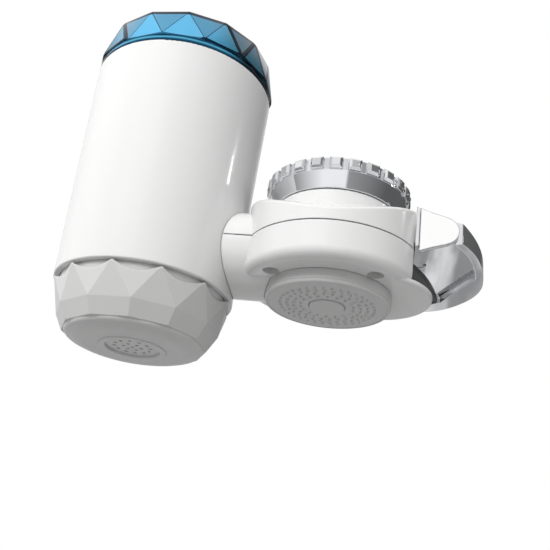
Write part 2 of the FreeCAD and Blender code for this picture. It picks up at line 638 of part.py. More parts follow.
def lever_cover():
    """White leaf-shaped plate on the lever's front."""
    plate = lever_blank().common(prism(lever_plan(0)))
    left = LEVER_ROOT_X + LEVER_STRIP + LIP_GAP
    plate = plate.common(box(left, BIG, LEVER_FRONT, LEVER_FRONT + COVER_T, -BIG, BIG))
    centre = LEVER_FRONT_X - COVER_TIP_R
    slope = math.atan((LEVER_ROOT_HALF - LEVER_WAIST_HALF) / (LEVER_WAIST_X - LEVER_ROOT_X))
    tip = Part.makeCylinder(COVER_TIP_R, 3 * COVER_T, V(centre, LEVER_FRONT - COVER_T, AXIS_Z), Y)
    straight = box(0, centre + COVER_TIP_R * math.sin(slope), -BIG, BIG, -BIG, BIG)
    return tilt(plate.common(fuse([straight, tip])))


def lever_screw():
    """Grub screw from the lever's underside into the spool's square."""
    x = LEVER_ROOT_X + SPOOL_SQUARE_LENGTH / 2
    top = AXIS_Z - SPOOL_SQUARE / 2 + 1.0
    screw = cyl_z(SCREW_R, top - 3.6, top, x)
    return tilt(screw.cut(box(x - BIG, x + BIG, -0.3, 0.3, top - 4.6, top - 2.8)))


# ------------------------------------------------------------------ spray head

def spray_head():
    """Cup under the drum, with a spigot up into the housing and a fine crease above its rim."""
    top = UNDERSIDE_Z - LIP_GAP
    face = SEAM_Z - SPRAY_FACE_DROP
    cup = cyl_z(SPRAY_R, face, top)
    cup = round_edges(cup, SPRAY_EDGE_ROUND, lambda p, e: abs(p.z - face) < 0.01)
    cup = cup.cut(cyl_z(SPRAY_R - SPRAY_WALL, face - 1, top - 1.4))
    spigot = cyl_z(SPRAY_SPIGOT_R, top - 1.4, FLOOR_Z + 2.6)
    cup = fuse([cup, spigot]).cut(cyl_z(SPRAY_SPIGOT_R - 1.6, face, BIG))
    crease = o_ring(V(0, 0, face + SPRAY_CREASE_RISE), Z, SPRAY_R + SPRAY_CREASE / 3, SPRAY_CREASE)
    return cup.cut(crease)


def spray_seal():
    return o_ring(V(0, 0, FLOOR_Z + 2.6 + SEAL_WIRE_R + 0.1), Z, SPRAY_SPIGOT_R - SEAL_WIRE_R)


def ring_spots(radii, counts):
    """Places of holes or nozzles on several circles."""
    return [polar(r, 360.0 * i / n + 3.0 * n) for r, n in zip(radii, counts) for i in range(n)]


def spray_plate():
    """Flat plate with rings of small nozzles and a shallow well for the badge."""
    face = SEAM_Z - SPRAY_FACE_DROP
    z0, z1 = face + SPRAY_RECESS, face + SPRAY_RECESS + SPRAY_PLATE_T
    plate = cyl_z(SPRAY_R - SPRAY_WALL, z0, z1)
    plate = plate.cut(cyl_z(BADGE_R + BODY_GAP, z0 - 1, z0 + BADGE_WELL))
    plate = plate.cut(cyl_z(2.0, z0 - 1, z1 + 1))
    spots = ring_spots(SPRAY_RING_RADII, SPRAY_RING_COUNTS)
    tips = [Part.makeCone(NOZZLE_R * 0.7, NOZZLE_R, NOZZLE_HEIGHT, V(x, y, z0 - NOZZLE_HEIGHT + 0.05), Z)
            for x, y in spots]
    plate = plate.fuse(tips)
    holes = Part.makeCompound([cyl_z(NOZZLE_HOLE_R, z0 - 2, z1 + 1, x, y) for x, y in spots])
    return plate.cut(holes)


def badge():
    """Plain button in the middle of the spray plate, clipped through its hole."""
    z0 = SEAM_Z - SPRAY_FACE_DROP + SPRAY_RECESS + BADGE_WELL
    low = z0 - BADGE_WELL - BADGE_RISE
    button = cyl_z(BADGE_R, low, z0)
    button = round_edges(button, 0.9 * BADGE_RISE, lambda p, e: abs(p.z - low) < 0.01)
    return fuse([button, cyl_z(2.0, z0 - 0.3, z0 + SPRAY_PLATE_T)])


# --------------------------------------------------------------- filter barrel

def barrel_in_r(z):
    """Inner radius of the barrel's wall at height z."""
    share = (z - BARREL_BOTTOM_Z) / (BARREL_TOP_Z - BARREL_BOTTOM_Z)
    return BARREL_BOTTOM_R + (BARREL_TOP_R - BARREL_BOTTOM_R) * share - BARREL_WALL


def thread_bore_r(at_top):
    """Straight bore that a cap's thread goes into, at the top or the bottom of the barrel."""
    z = BARREL_TOP_Z - CAP_THREAD_LENGTH if at_top else BARREL_BOTTOM_Z
    return barrel_in_r(z) + (0.0 if at_top else 0.2)


def barrel():
    """Tapered tube, open at both ends, with the stub that the neck clamps."""
    height = BARREL_TOP_Z - BARREL_BOTTOM_Z
    outer = Part.makeCone(BARREL_BOTTOM_R, BARREL_TOP_R, height, V(BARREL_X, 0, BARREL_BOTTOM_Z), Z)
    middle = (BARREL_TOP_Z + BARREL_BOTTOM_Z) / 2
    outer = round_edges(outer, 0.6, lambda p, e: abs(p.z - middle) > height / 2 - 0.01)
    inner = Part.makeCone(BARREL_BOTTOM_R - BARREL_WALL, BARREL_TOP_R - BARREL_WALL, height,
                          V(BARREL_X, 0, BARREL_BOTTOM_Z), Z)
    stub = cyl_x(STUB_R, BARREL_X, stub_end_x(), NECK_Z)
    boss = cyl_x(PORT_BOSS_R, BARREL_X, stub_end_x(), AXIS_Z).common(stub)
    gx = stub_groove_x()
    groove = cyl_x(STUB_R + 1, gx, gx + CLAMP_RIB_WIDTH + 2 * LIP_GAP, NECK_Z)
    groove = groove.common(box(-BIG, BIG, -BIG, BIG, -BIG, SEAM_Z))
    stub = stub.cut(groove.cut(cyl_x(STUB_R - STUB_GROOVE_DEPTH, -BIG, BIG, NECK_Z)))
    stub = stub.cut(cyl_x(STUB_R - STUB_GROOVE_DEPTH - 1.6, -BIG, BIG, NECK_Z).cut(barrel_cone(-0.5)))
    body = fuse([outer, stub, boss]).cut(inner)
    thread_end = BARREL_BOTTOM_Z + CAP_THREAD_LENGTH + 1
    body = body.cut(cyl_z(thread_bore_r(False), BARREL_BOTTOM_Z - 1, thread_end, BARREL_X))
    body = body.cut(cyl_x(TRANSFER_R + LIP_GAP, transfer_left_x() - LIP_GAP, BIG, AXIS_Z))
    return body.cut(cyl_x(TRANSFER_BORE_R, BARREL_X, BIG, AXIS_Z))


def transfer_left_x():
    """Barrel end of the transfer tube, just outside the barrel's wall."""
    return BARREL_X + barrel_in_r(AXIS_Z) + 1.2


def transfer_tube():
    """Short pipe from the diverter through the neck into the barrel."""
    x0, x1 = transfer_left_x(), HOUSING_LEFT_X + 6.0 - LIP_GAP
    tube = cyl_x(TRANSFER_R, x0, x1, AXIS_Z).cut(cyl_x(TRANSFER_BORE_R, x0 - 1, x1 + 1, AXIS_Z))
    for x in transfer_seal_places():
        groove = cyl_x(TRANSFER_R + 1, x - SEAL_WIRE_R - 0.1, x + SEAL_WIRE_R + 0.1, AXIS_Z)
        tube = tube.cut(groove.cut(cyl_x(TRANSFER_R - 2 * SEAL_WIRE_R - 0.05, -BIG, BIG, AXIS_Z)))
    return tube


def transfer_seal_places():
    """One ring in the barrel's port and one in the housing's port."""
    return (stub_end_x() - 2.4, HOUSING_LEFT_X + 2.8)


def transfer_seals():
    rings = [o_ring(V(x, 0, AXIS_Z), X, TRANSFER_R - SEAL_WIRE_R) for x in transfer_seal_places()]
    return Part.makeCompound(rings)


def polygon(r, z, count, phase):
    """Corners of a regular polygon about the barrel's axis."""
    spots = [polar(r, phase + 360.0 * i / count, BARREL_X) for i in range(count)]
    return [V(x, y, z) for x, y in spots]


def antiprism(low_r, low_z, high_r, high_z, count, phase, turn=0.5):
    """Band between two polygons, the upper one turned by a share of a step, joined by triangles."""
    low = polygon(low_r, low_z, count, phase)
    high = polygon(high_r, high_z, count, phase + turn * 360.0 / count)
    faces = [Part.Face(Part.makePolygon(low + [low[0]])), Part.Face(Part.makePolygon(high + [high[0]]))]
    for i in range(count):
        j = (i + 1) % count
        faces.append(Part.Face(Part.makePolygon([low[i], low[j], high[i], low[i]])))
        faces.append(Part.Face(Part.makePolygon([low[j], high[j], high[i], low[j]])))
    solid = Part.Solid(Part.Shell(faces))
    if solid.Volume < 0:
        solid.reverse()
    return solid


def top_cap():
    """Translucent crystal cap: round band, faceted wall, flat top with a shallow dish."""
    z0 = BARREL_TOP_Z + LIP_GAP
    z1, z2 = z0 + TOP_BAND_H, z0 + TOP_HEIGHT
    crystal = antiprism(TOP_LOWER_R, z1, TOP_UPPER_R, z2, TOP_FACETS, TOP_PHASE)
    body = fuse([crystal, cyl_z(TOP_BAND_R, z0, z1 + 0.3, BARREL_X)])
    hollow_r = TOP_UPPER_R * math.cos(math.pi / TOP_FACETS) - TOP_WALL
    body = body.cut(cyl_z(hollow_r, z0 - 1, z2 - TOP_WALL, BARREL_X))
    dish = cyl_z(hollow_r - 2.0, z2 - 0.8, z2 + 1, BARREL_X)
    return body.cut(dish)


def cap_liner():
    """Threaded plug under the crystal cap, with a raised cup that fills the cap."""
    z0 = BARREL_TOP_Z + LIP_GAP
    thread_r = thread_bore_r(True) - THREAD_GAP
    hollow_r = TOP_UPPER_R * math.cos(math.pi / TOP_FACETS) - TOP_WALL
    plug = cyl_z(thread_r, BARREL_TOP_Z - CAP_THREAD_LENGTH, z0, BARREL_X)
    seat = cyl_z(hollow_r - LIP_GAP, z0 - 0.5, z0 + 2.0, BARREL_X)
    cup = Part.makeCone(LINER_CUP_R, LINER_CUP_R - 2, LINER_CUP_H, V(BARREL_X, 0, z0), Z)
    body = fuse([plug, seat, cup])
    foot = BARREL_TOP_Z - CAP_THREAD_LENGTH - 1
    body = body.cut(cyl_z(LINER_CUP_R - 4.5, foot, z0 + LINER_CUP_H - 2, BARREL_X))
    return body.cut(seal_groove(thread_r, BARREL_TOP_Z - CAP_THREAD_LENGTH / 2))


def seal_groove(thread_r, z):
    """Groove for a cap's sealing ring."""
    return ring_z(thread_r + 1, thread_r - SEAL_GROOVE, z - 0.95, z + 0.95, BARREL_X)


def cap_seal(thread_r, z):
    """Sealing ring of a cap, free in its groove."""
    wire = 0.65
    return o_ring(V(BARREL_X, 0, z), Z, thread_r - wire + 0.04, wire)


def top_cap_seal():
    return cap_seal(thread_bore_r(True) - THREAD_GAP, BARREL_TOP_Z - CAP_THREAD_LENGTH / 2)


def bottom_cap_seal():
    return cap_seal(thread_bore_r(False) - THREAD_GAP, BARREL_BOTTOM_Z + CAP_THREAD_LENGTH / 2)


def low_levels():
    """Heights of the lower cap: rim, foot of the facets, foot of the belt, foot of the dome, flat bottom."""
    rim = BARREL_BOTTOM_Z - LIP_GAP
    facet = rim - LOW_FACET_H
    belt = facet - LOW_BELT_H
    dome = belt - LOW_DOME_H
    return rim, facet, belt, dome, dome - LOW_FLAT_H


def bottom_cap():
    """Faceted lower cap with its thread, the socket for the cartridge and the outlet well."""
    rim, facet, belt, dome, flat = low_levels()
    phase = LOW_PHASE + 180.0 / LOW_FACETS
    crystal = antiprism(LOW_LOWER_R, facet, LOW_UPPER_R, rim, LOW_FACETS, phase)
    sides = antiprism(LOW_BELT_R, belt, LOW_LOWER_R, facet, LOW_FACETS, phase, turn=0)
    tier_r = LOW_BELT_R * math.cos(math.pi / LOW_FACETS) - 0.2
    points = [V(0, 0, flat), V(LOW_DOME_R - 5, 0, flat), V(LOW_DOME_R, 0, dome), V(tier_r, 0, belt),
              V(0, 0, belt)]
    swell = V((LOW_DOME_R + tier_r) / 2 + 0.25, 0, (dome + belt) / 2 - 0.25)
    edges = [Part.makeLine(points[0], points[1]),
             Part.Arc(points[1], V(LOW_DOME_R - 2.0, 0, flat + LOW_FLAT_H * 0.38), points[2]).toShape(),
             Part.Arc(points[2], swell, points[3]).toShape(),
             Part.makeLine(points[3], points[4]), Part.makeLine(points[4], points[0])]
    tier = Part.Face(Part.Wire(edges)).revolve(V(0, 0, 0), Z, 360)
    tier.translate(V(BARREL_X, 0, 0))
    thread_r = thread_bore_r(False) - THREAD_GAP
    lean = (LOW_UPPER_R + LIP_GAP - thread_r) / LOW_RIM_DISH
    dish_h = LOW_RIM_DISH + 2.0
    dish = Part.makeCone(thread_r, thread_r + lean * dish_h, dish_h, V(BARREL_X, 0, rim - LOW_RIM_DISH), Z)
    thread = cyl_z(thread_r, rim - LOW_RIM_DISH - 1, BARREL_BOTTOM_Z + CAP_THREAD_LENGTH, BARREL_X)
    body = fuse([crystal.cut(dish), sides, tier, thread])
    hollow_r = thread_r - LOW_WALL - 0.6
    floor = outlet_seat_z() + LOW_WALL
    funnel = Part.makeCone(LOW_DOME_R - LOW_WALL, hollow_r, facet + 1.01 - floor, V(BARREL_X, 0, floor), Z)
    hollow = fuse([cyl_z(hollow_r, facet + 1, BIG, BARREL_X), funnel])
    body = body.cut(hollow)
    socket = cyl_z(NIPPLE_R + 3.0, outlet_seat_z(), socket_top_z(), BARREL_X)
    body = fuse([body, socket]).cut(cyl_z(NIPPLE_R + RUN_GAP, outlet_seat_z(), BIG, BARREL_X))
    body = body.cut(cyl_z(OUTLET_R, flat - 1, outlet_seat_z(), BARREL_X))
    return body.cut(seal_groove(thread_r, BARREL_BOTTOM_Z + CAP_THREAD_LENGTH / 2))


def socket_top_z():
    """Top of the socket that takes the cartridge's nipple."""
    return CARTRIDGE_SEAT_Z - CARTRIDGE_BASE_T - BODY_GAP


def outlet_seat_z():
    """Top of the outlet well."""
    return low_levels()[4] + OUTLET_RING_H - OUTLET_RING_DROP


def outlet_ring():
    z0 = low_levels()[4] - OUTLET_RING_DROP
    ring = ring_z(OUTLET_R, OUTLET_R - OUTLET_RING_W, z0, outlet_seat_z(), BARREL_X)
    return round_edges(ring, 0.5, lambda p, e: abs(p.z - z0) < 0.01)


def outlet_plate():
    """Small sieve plate that the filtered water leaves through."""
    z0 = low_levels()[4] + 0.5
    plate = cyl_z(OUTLET_R - OUTLET_RING_W, z0, z0 + OUTLET_PLATE_T, BARREL_X)
    spots = [(0.0, 0.0)] + ring_spots(OUTLET_RING_RADII, OUTLET_RING_COUNTS)
    holes = [cyl_z(OUTLET_HOLE_R, z0 - 1, z0 + OUTLET_PLATE_T + 1, BARREL_X + x, y) for x, y in spots]
    return plate.cut(Part.makeCompound(holes))


# ------------------------------------------------------------------- cartridge

def cartridge_base():
    """Lower end cap of the cartridge, with the nipple that plugs into the lower cap."""
    seat = CARTRIDGE_SEAT_Z
    disc = cyl_z(CARTRIDGE_R, seat - CARTRIDGE_BASE_T, seat, BARREL_X)
    nipple = cyl_z(NIPPLE_R, seat - CARTRIDGE_BASE_T - NIPPLE_LENGTH, seat, BARREL_X)
    body = fuse([disc, nipple]).cut(cyl_z(NIPPLE_R - 2.6, -BIG, BIG, BARREL_X))
    z = seat - CARTRIDGE_BASE_T - NIPPLE_LENGTH / 2
    return body.cut(ring_z(NIPPLE_R + 1, NIPPLE_R - 1.5, z - 0.9, z + 0.9, BARREL_X))


def cartridge_seal():
    z = CARTRIDGE_SEAT_Z - CARTRIDGE_BASE_T - NIPPLE_LENGTH / 2
    return o_ring(V(BARREL_X, 0, z), Z, NIPPLE_R - 0.7, 0.7)


def ceramic_shell():
    """Ceramic filter candle: thick tube with a domed top."""
    seat, top = CARTRIDGE_SEAT_Z, CARTRIDGE_SEAT_Z + CERAMIC_H
    outer = cyl_z(CERAMIC_R, seat, top, BARREL_X)
    outer = round_edges(outer, CERAMIC_WALL * 1.3, lambda p, e: abs(p.z - top) < 0.01)
    return outer.cut(cyl_z(CERAMIC_R - CERAMIC_WALL, seat - 1, top - CERAMIC_WALL, BARREL_X))


def carbon_core():
    """Block of active carbon inside the candle, round the clean water channel."""
    seat = CARTRIDGE_SEAT_Z
    core_r = CERAMIC_R - CERAMIC_WALL - LIP_GAP
    return ring_z(core_r, NIPPLE_R - 2.6, seat, seat + CERAMIC_H - CERAMIC_WALL - 1.0, BARREL_X)


def cartridge_grip():
    """Cap glued on the candle's top, with a bar to pull the cartridge out by."""
    top = CARTRIDGE_SEAT_Z + CERAMIC_H
    disc = cyl_z(CARTRIDGE_GRIP_R, top, top + 1.6, BARREL_X)
    reach = CARTRIDGE_GRIP_R - 1
    bar = box(BARREL_X - reach, BARREL_X + reach, -1.5, 1.5, top, top + CARTRIDGE_GRIP_H)
    bar = bar.common(Part.makeCylinder(reach, 3.0, V(BARREL_X, -1.5, top - 1.2), Y))
    return fuse([disc, bar])


PIECES = (upper_shell, lower_shell, shell_screws, inlet_neck, inlet_seal, inlet_screen, tap_gasket, adapter,
          collar, valve_housing, spool, spool_seals, spool_gland, lever, lever_pad, lever_cover, lever_screw,
          spray_head, spray_seal, spray_plate, badge, barrel, transfer_tube, transfer_seals,
          top_cap, cap_liner, top_cap_seal, bottom_cap, bottom_cap_seal, outlet_ring, outlet_plate,
          cartridge_base, cartridge_seal, ceramic_shell, carbon_core, cartridge_grip)

os.makedirs("parts", exist_ok=True)
for piece in PIECES:
    save(piece.__name__, piece())
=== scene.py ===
"""Looks of the tap-mounted water filter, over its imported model.

Metres, +Z up, the origin at the spout seat on the valve drum's axis. The panel in the sidebar holds the sizes
and colours, and one button for each piece.
"""

import json
import math

import bmesh
import bpy
from mathutils import Matrix, Vector


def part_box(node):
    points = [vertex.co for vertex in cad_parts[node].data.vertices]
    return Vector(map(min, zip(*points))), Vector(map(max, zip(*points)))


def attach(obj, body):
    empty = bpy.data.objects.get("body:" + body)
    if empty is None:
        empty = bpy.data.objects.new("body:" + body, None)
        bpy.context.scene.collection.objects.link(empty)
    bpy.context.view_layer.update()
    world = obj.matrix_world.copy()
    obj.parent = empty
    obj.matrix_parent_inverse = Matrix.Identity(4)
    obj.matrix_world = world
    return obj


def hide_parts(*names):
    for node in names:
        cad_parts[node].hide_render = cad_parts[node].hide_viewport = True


bl_info = {
    "name": "Tap-mounted water filter",
    "version": (1, 0, 0),
    "blender": (4, 5, 0),
    "location": "View3D > Sidebar > Water filter",
    "description": "Pieces, finishes, light and camera of the tap-mounted water filter",
    "category": "Object",
}

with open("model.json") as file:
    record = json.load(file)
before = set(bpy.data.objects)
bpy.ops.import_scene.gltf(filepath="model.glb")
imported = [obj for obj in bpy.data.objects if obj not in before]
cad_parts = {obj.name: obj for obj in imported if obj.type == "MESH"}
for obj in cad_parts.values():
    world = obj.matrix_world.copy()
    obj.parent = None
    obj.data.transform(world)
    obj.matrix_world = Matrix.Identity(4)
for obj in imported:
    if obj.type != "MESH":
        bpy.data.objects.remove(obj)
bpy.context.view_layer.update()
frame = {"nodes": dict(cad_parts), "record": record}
MM = 0.001
SEAM_Z = -23.8 * MM         # height of the drum's parting line

# Crystal cap
CAP_BAND_H = 2.4 * MM       # round band at its foot
CAP_BAND_R = 35.4 * MM
CAP_CORNER_R = 36.4 * MM    # corners of the lower polygon
CAP_TAPER = 2.8 * MM        # how much closer the upper polygon's corners are
CAP_HOLLOW_R = 30.76 * MM
# the second slot holds the painted dark edges, the third the painted shade
CLEAR, DARK_EDGE, SHADED = range(3)  # its material slots

# Studio
FLOOR_Z = -0.40
DOME_R = 0.95
ROOM_LIGHT = 0.35
AIM = (-0.02, 0, 0)
# Lamps: name, place, aim, width, height, strength, seen in mirrors
LAMPS = (("key_lamp", (-0.35, -0.80, 0.55), AIM, 0.6, 0.6, 9.2, False),
         ("side_lamp", (-0.9, -0.1, 0.30), AIM, 0.5, 0.7, 2.4, False),
         ("fill_lamp", (0.85, -0.55, 0.25), AIM, 0.6, 0.6, 1.8, False),
         ("streak_lamp", (0.52, 0.09, 0.30), (-0.06, 0, 0.02), 0.02, 0.045, 0.09, True))
# Greys of the studio wall below and above eye level, by degrees from the front towards the lever's side
LOW_WALL = ((-180, 0.60), (-120, 0.72), (-88, 0.70), (-84, 0.20), (-23, 1.0), (13, 1.0), (17, 0.34),
            (84, 0.12), (150, 0.10), (165, 0.50), (180, 0.60))
HIGH_WALL = ((-180, 0.75), (-100, 1.0), (-60, 1.0), (-30, 0.70), (0, 0.95), (30, 0.50), (60, 0.16),
             (150, 0.10), (170, 0.50), (180, 0.75))
CAMERA_PLACE = Vector((21.30, -264.29, -147.15)) * MM
CAMERA_TURN = (8.925, -23.407, 7.817)   # azimuth, elevation and roll
SENSOR_WIDTH = 36.0
FOCAL_SHARE = 793.77 / 550              # focal length against the picture's width


# ------------------------------------------------------------- arithmetic on sockets

class Value:
    """A number or colour that runs through a material's nodes."""

    def __init__(self, finish, socket):
        self.finish, self.socket = finish, socket

    def math(self, operation, *others):
        links = {i: other for i, other in enumerate((self,) + others)}
        return self.finish.node("ShaderNodeMath", {"operation": operation}, links)

    def __add__(self, other): return self.math("ADD", other)
    def __radd__(self, other): return self.math("ADD", other)
    def __sub__(self, other): return self.math("SUBTRACT", other)
    def __rsub__(self, other): return self.finish.number(other).math("SUBTRACT", self)
    def __mul__(self, other): return self.math("MULTIPLY", other)
    def __rmul__(self, other): return self.math("MULTIPLY", other)
    def __truediv__(self, other): return self.math("DIVIDE", other)
    def __pow__(self, other): return self.math("POWER", other)


class Finish:
    """One material: its nodes are added as expressions on values ask for them."""

    def __init__(self, name, **fixed):
        self.material = bpy.data.materials.new(name)
        self.material.use_nodes = True
        self.tree = self.material.node_tree
        self.shader = self.tree.nodes["Principled BSDF"]
        self.place = self.node("ShaderNodeTexCoord", {}, {}, "Object")
        for socket, value in fixed.items():
            self.shader.inputs[socket.replace("_", " ")].default_value = value

    def node(self, kind, settings, inputs, output=0):
        node = self.tree.nodes.new(kind)
        for key, value in settings.items():
            if key == "stops":
                while len(node.color_ramp.elements) < len(value):
                    node.color_ramp.elements.new(0.5)
                for element, (at, colour) in zip(node.color_ramp.elements, value):
                    element.position = at
                    element.color = (*colour, 1) if isinstance(colour, tuple) else (colour, colour, colour, 1)
            else:
                setattr(node, key, value)
        for key, value in inputs.items():
            if isinstance(value, Value):
                self.tree.links.new(value.socket, node.inputs[key])
            else:
                node.inputs[key].default_value = value
        return Value(self, node.outputs[output])

    def number(self, value):
        return self.node("ShaderNodeMath", {"operation": "ADD"}, {0: value, 1: 0.0})

    def noise(self, scale, detail=3.0, stretch=(1, 1, 1), roughness=0.5, centre=(0, 0, 0)):
        place = self.node("ShaderNodeMapping", {"vector_type": "POINT"},
                          {"Vector": self.place, "Scale": stretch, "Location": centre})
        return self.node("ShaderNodeTexNoise", {}, {"Vector": place, "Scale": scale, "Detail": detail,
                                                    "Roughness": roughness})

    def cells(self, scale, feature="F1", stretch=(1, 1, 1)):
        place = self.node("ShaderNodeMapping", {"vector_type": "POINT"},
                          {"Vector": self.place, "Scale": stretch})
        return self.node("ShaderNodeTexVoronoi", {"feature": feature},
                         {"Vector": place, "Scale": scale}, "Distance")

    def ramp(self, value, stops):
        return self.node("ShaderNodeValToRGB", {"stops": stops}, {"Fac": value}, "Color")

    def step(self, value, low, high, out_low=0.0, out_high=1.0):
        return self.node("ShaderNodeMapRange", {"interpolation_type": "SMOOTHSTEP"},
                         {0: value, 1: low, 2: high, 3: out_low, 4: out_high})

    def mix(self, share, first, second):
        blended = self.node("ShaderNodeMix", {"data_type": "RGBA"},
                            {0: share, 6: paint(first), 7: paint(second)}, 2)
        return blended

    def feed(self, socket, value):
        self.tree.links.new(value.socket, self.shader.inputs[socket])
        return self

    def axis(self, letter):
        return self.node("ShaderNodeSeparateXYZ", {}, {0: self.place}, letter)

    def soft_edge(self, radius):
        """Normal that rounds sharp edges by a little, as a mould or a plating does."""
        return self.node("ShaderNodeBevel", {"samples": 6}, {"Radius": radius}, "Normal")

    def relief(self, height, strength, distance, edge=None):
        """Bump over the surface, on top of softly rounded edges."""
        inputs = {"Height": height, "Strength": strength, "Distance": distance}
        if edge is not None:
            inputs["Normal"] = self.soft_edge(edge)
        return self.feed("Normal", self.node("ShaderNodeBump", {}, inputs, "Normal"))

    def sharp_edge_mask(self, radius):
        """1 along sharp convex edges, where the shade line of a gap is painted."""
        rounded = self.soft_edge(radius)
        flat = self.node("ShaderNodeNewGeometry", {}, {}, "Normal")
        along = self.node("ShaderNodeVectorMath", {"operation": "DOT_PRODUCT"},
                          {0: rounded, 1: flat}, "Value")
        return self.step(along, 0.99, 0.85)


def paint(colour):
    """A colour as its socket takes it, or a link as it is."""
    return (*colour, 1) if isinstance(colour, tuple) and len(colour) == 3 else colour


def grey(level):
    return (level, level, level)


def dimmed(colour, *shares):
    """A colour with each channel taken down to its share."""
    return tuple(c * share for c, share in zip(colour, shares * 3 if len(shares) == 1 else shares))


# --------------------------------------------------------------------- finishes

def moulded_plastic(name, colour, roughness, grain, edge, shade=0.02, coat=0.0, gap_shade_line=0.0):
    """Moulded plastic with faint flow marks, a fine skin texture, softly rounded edges and, if asked, a
    painted shade line along sharp edges where a gap's shadow would fall.
    """
    finish = Finish(name, IOR=1.5, Coat_Roughness=0.05)
    flow = finish.noise(18.0, 4.0, (1, 1, 0.25))
    speck = finish.noise(900.0, 2.0)
    dark = tuple(c * (1 - 2.5 * shade) for c in colour)
    skin = finish.mix(finish.step(flow, 0.35, 0.75), colour, dark)
    if gap_shade_line:
        # painted shade: near-black line along sharp edges, standing in for the shadow in the gap around the
        # piece
        skin = finish.mix(finish.sharp_edge_mask(gap_shade_line), skin, grey(0.05))
    finish.feed("Base Color", skin)
    smear = finish.noise(60.0, 5.0)
    finish.feed("Roughness", roughness + (smear - 0.5) * 0.10 + (speck - 0.5) * 0.04)
    finish.shader.inputs["Coat Weight"].default_value = coat
    finish.relief(speck * 0.6 + flow * 0.4, grain, 0.00012, edge)
    return finish.material


def white_gloss():
    return moulded_plastic("gloss white plastic", tuple(settings().white), 0.16, 0.06, 0.0004, 0.008, 0.20)


def leaf_white():
    """Brighter gloss white of the lever's leaf, with a painted shade line along its sharp edges for the
    shadow in the gap to the chrome lever.
    """
    bright = tuple(min(1.0, c * 1.12) for c in settings().white)
    return moulded_plastic("leaf white plastic", bright, 0.16, 0.06, 0.0003, 0.008, 0.20, 0.0006)


def white_satin():
    return moulded_plastic("satin white plastic", tuple(settings().satin), 0.38, 0.16, 0.0004, 0.015)


def cap_side(finish, first, last):
    """0 in the middle of the crystal cap and 1 on its two flanks, between two shares of its radius: the mask
    of the painted shade on the flanks.
    """
    low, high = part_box("top_cap")
    middle_x, radius = (low.x + high.x) / 2, (high.x - low.x) / 2
    return finish.step((finish.axis("X") - middle_x).math("ABSOLUTE"), first * radius, last * radius)


def tinted_crystal(name="tinted crystal plastic", share=1.0):
    """Polished tinted plastic, with painted shade that darkens the cap's flanks and a painted black edge
    along the top of its facets.
    """
    finish = Finish(name, IOR=1.46, Transmission_Weight=0.30)
    tint = dimmed(settings().crystal, share)
    low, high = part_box("top_cap")
    # painted shade: the flanks turn a darker teal, for the light that falls less on them
    front = 1.0 - cap_side(finish, 0.35, 0.85)
    haze = finish.step(finish.noise(45.0, 3.0, (1, 1, 0.5)), 0.35, 0.7)
    body = finish.mix(haze, tint, dimmed(tint, 0.7, 0.78, 0.82))
    radius = ((finish.axis("X") - (low.x + high.x) / 2) ** 2.0 + finish.axis("Y") ** 2.0) ** 0.5
    # painted shade: a black band along the top edge of the facets, for the dark edge seen through the crystal
    rim = finish.step(finish.axis("Z"), high.z - 2.5 * MM, high.z - 1.9 * MM)
    rim = rim * finish.step(radius, 31.2 * MM, 32.0 * MM)
    teal, black = dimmed(tint, 0.4, 0.36, 0.33), dimmed(tint, 0.03, 0.04, 0.05)
    finish.feed("Base Color", finish.mix(rim, finish.mix(front, teal, body), black))
    finish.feed("Roughness", 0.05 + (finish.noise(140.0, 4.0) - 0.5) * 0.05)
    finish.relief(finish.noise(260.0, 2.0), 0.04, 0.0001, 0.0003)
    return finish.material


def bright_chrome(name="bright chrome plating", waves=0.0):
    """Mirror plating with polishing lines, faint water marks, softly rounded edges and shallow waves."""
    finish = Finish(name, Metallic=1.0)
    marks = finish.noise(45.0, 6.0)
    finish.feed("Base Color", finish.mix(finish.step(marks, 0.45, 0.75), tuple(settings().chrome),
                                         tuple(c * 0.93 for c in settings().chrome)))
    lines = finish.noise(120.0, 3.0, (1, 1, 14))
    finish.feed("Roughness", 0.045 + (marks - 0.45) * 0.07 + (lines - 0.5) * 0.03)
    height = lines * 0.5 + marks * 0.5
    if waves:
        height = height + finish.noise(70.0, 1.5, (1, 0.35, 1)) * waves
    finish.relief(height, 0.05, 0.00010, 0.0005)
    return finish.material


def cast_chrome():
    """Plating over the lever's casting, whose lower face is a little wavy."""
    return bright_chrome("cast chrome plating", 60.0)


# this finish also colours the lever's dark pad, a dark piece set where the gap by the drum is only in shade:
# painted shade
def black_plastic():
    return moulded_plastic("black plastic", (0.060, 0.060, 0.063), 0.34, 0.25, 0.0003, 0.05)


def soft_rubber():
    """Black rubber with bloom and a fine grain."""
    finish = Finish("black rubber", IOR=1.5)
    bloom = finish.noise(70.0, 5.0)
    finish.feed("Base Color", finish.mix(finish.step(bloom, 0.4, 0.8), (0.020, 0.020, 0.021),
                                         (0.055, 0.055, 0.057)))
    finish.feed("Roughness", 0.55 + (bloom - 0.5) * 0.25)
    finish.relief(finish.noise(1500.0, 2.0), 0.3, 0.00008)
    return finish.material


def bright_steel():
    """Turned stainless steel with fine lines."""
    finish = Finish("turned steel", Metallic=1.0)
    lines = finish.noise(700.0, 2.0, (1, 1, 0.1))
    finish.feed("Base Color", finish.mix(lines, (0.50, 0.50, 0.52), (0.68, 0.68, 0.70)))
    finish.feed("Roughness", 0.22 + (lines - 0.5) * 0.2)
    finish.relief(lines, 0.15, 0.00006, 0.0002)
    return finish.material


